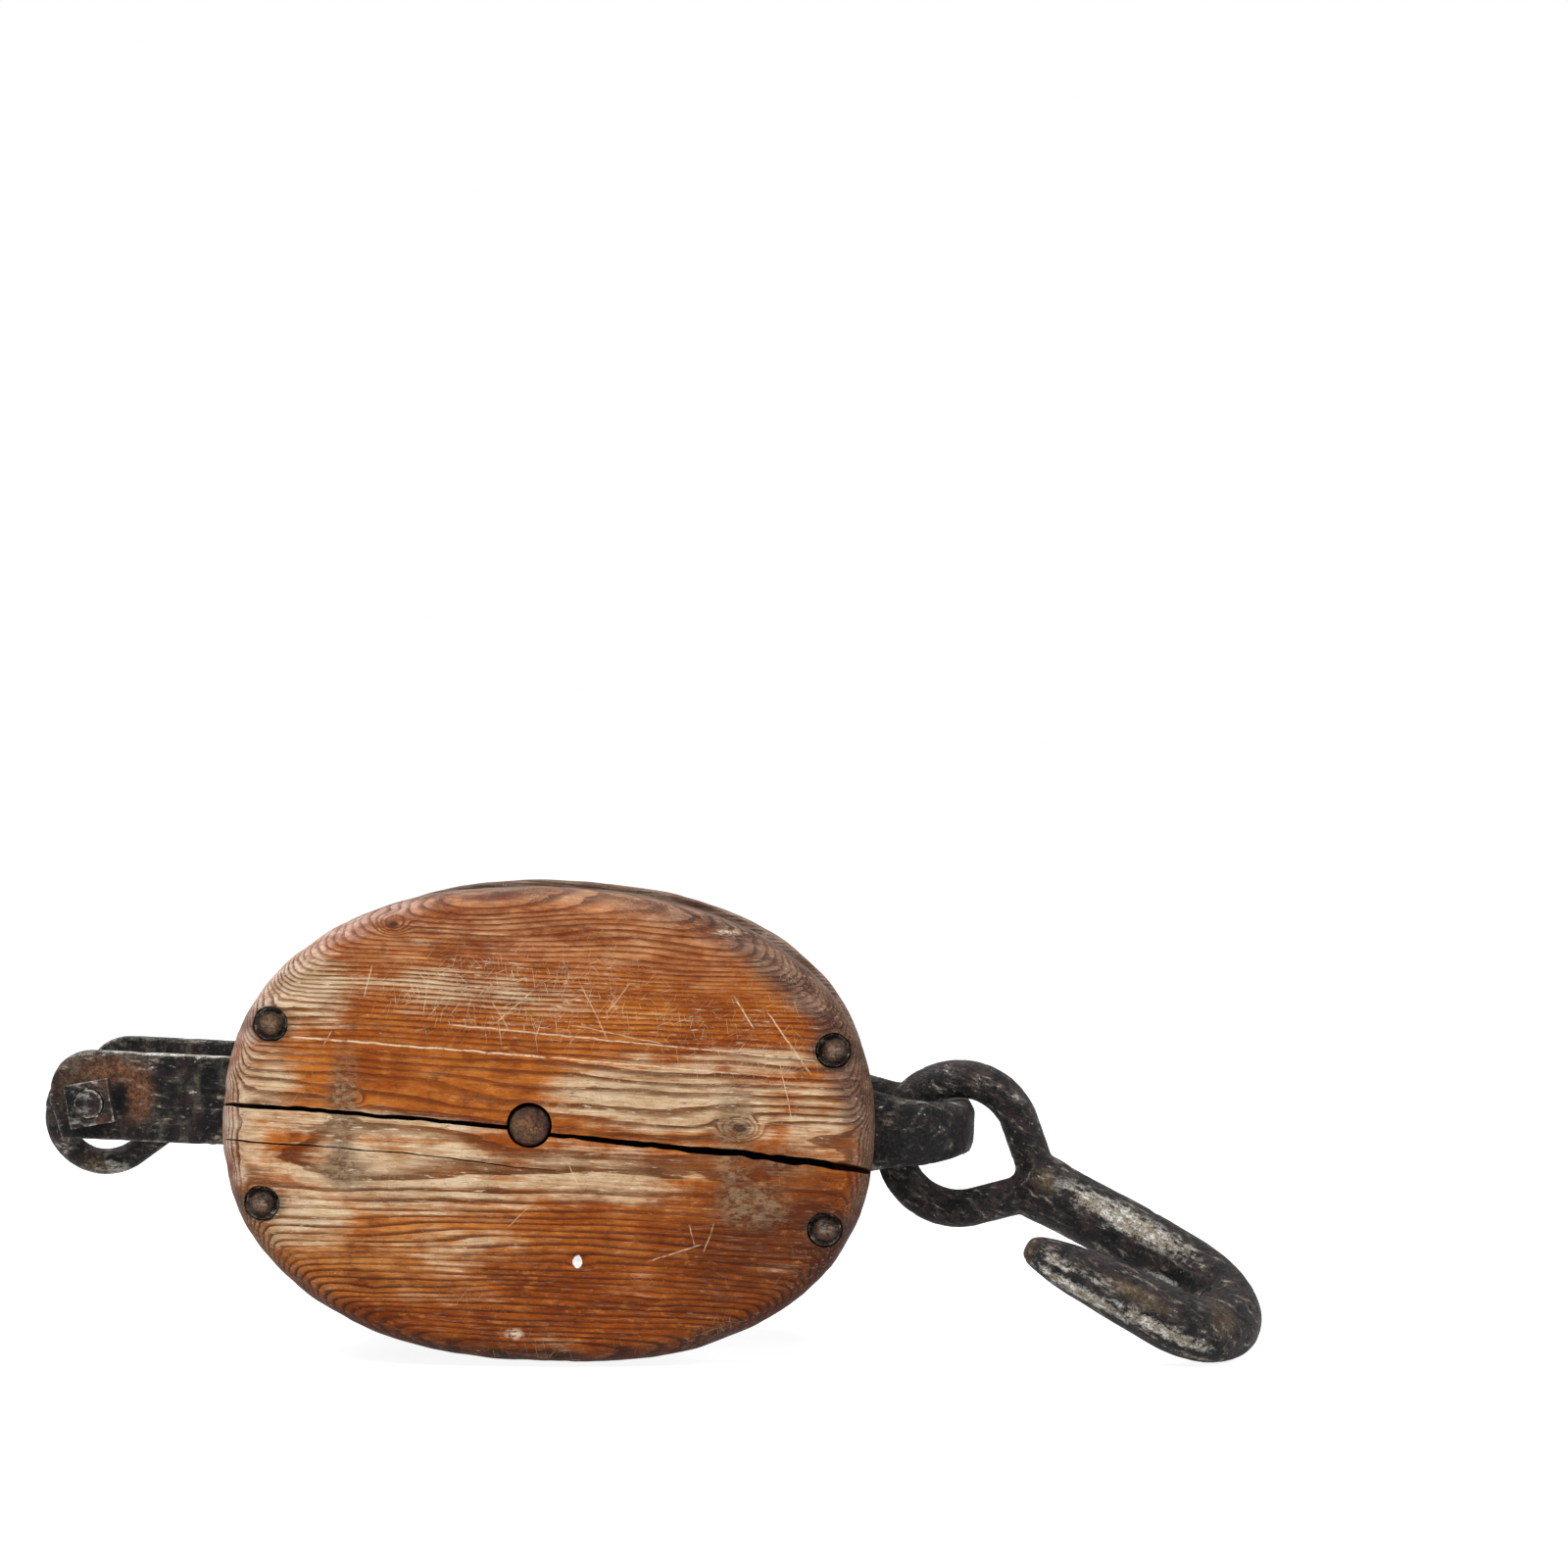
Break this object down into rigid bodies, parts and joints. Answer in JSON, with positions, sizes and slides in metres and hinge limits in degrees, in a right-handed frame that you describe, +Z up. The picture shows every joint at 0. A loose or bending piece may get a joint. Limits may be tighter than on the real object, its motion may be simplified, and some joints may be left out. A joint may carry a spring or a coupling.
{
  "type": "double sheave block",
  "caption": "Wooden rigging block with an iron strap, grooved sheaves on one pin, a becket ring and a swinging hook, for hauling loads by rope.",
  "frame": {"origin": "under the middle of the block as it stands, on the ground, centred on the bounding box in X and near the middle of the shell's thickness in Y", "axes": "+X along the block from the becket ring to the hook, +Y along the sheave pin away from the viewer, +Z up; the shell is leaned 2.7 degrees so that its edge and the hook's bow both touch the ground"},
  "size_m": [0.4846, 0.1477, 0.1856],
  "materials": {
    "shell_wood": "worn varnish over weathered softwood",
    "inner_wood": "dark, dry, unvarnished",
    "fastener_iron": "dark rusted iron",
    "forged_iron": "hand-forged, dark brown-black patina with worn bright edges",
    "pin_iron": "turned, dull",
    "sheave_wood": "dense dark hardwood, rope-polished groove",
    "bushing_bronze": "dull bronze"
  },
  "bodies": {
    "block": {"front_cheek": "shell_wood", "rear_cheek": "shell_wood", "center_partition": "inner_wood", "front_becket_spacer": "inner_wood", "rear_becket_spacer": "inner_wood", "front_hook_spacer": "inner_wood", "rear_hook_spacer": "inner_wood", "shell_rivets": "fastener_iron", "front_rivet_washers": "fastener_iron", "rear_rivet_washers": "fastener_iron", "strap": "forged_iron", "sheave_pin": "pin_iron", "becket_bolt": "fastener_iron", "becket_nut": "fastener_iron"},
    "front_wheel": {"front_sheave": "sheave_wood", "front_bushing": "bushing_bronze"},
    "rear_wheel": {"rear_sheave": "sheave_wood", "rear_bushing": "bushing_bronze"},
    "ring": {"becket_ring": "forged_iron"},
    "hook": {"hook": "forged_iron"}
  },
  "joints": [
    {"name": "front_sheave_spin", "type": "hinge", "parent": "block", "child": "front_wheel", "pos_m": [-0.04349, -0.025, 0.09312], "axis": [0, 1, 0], "continuous": true},
    {"name": "rear_sheave_spin", "type": "hinge", "parent": "block", "child": "rear_wheel", "pos_m": [-0.04349, 0.025, 0.09312], "axis": [0, 1, 0], "continuous": true},
    {"name": "becket_ring_swing", "type": "hinge", "parent": "block", "child": "ring", "pos_m": [-0.21482, 0, 0.1009], "axis": [0, 1, 0], "continuous": true},
    {"name": "hook_swing", "type": "hinge", "parent": "block", "child": "hook", "pos_m": [0.12392, -0.016, 0.08192], "axis": [0, 1, 0], "range_deg": [-145, 80]}
  ]
}
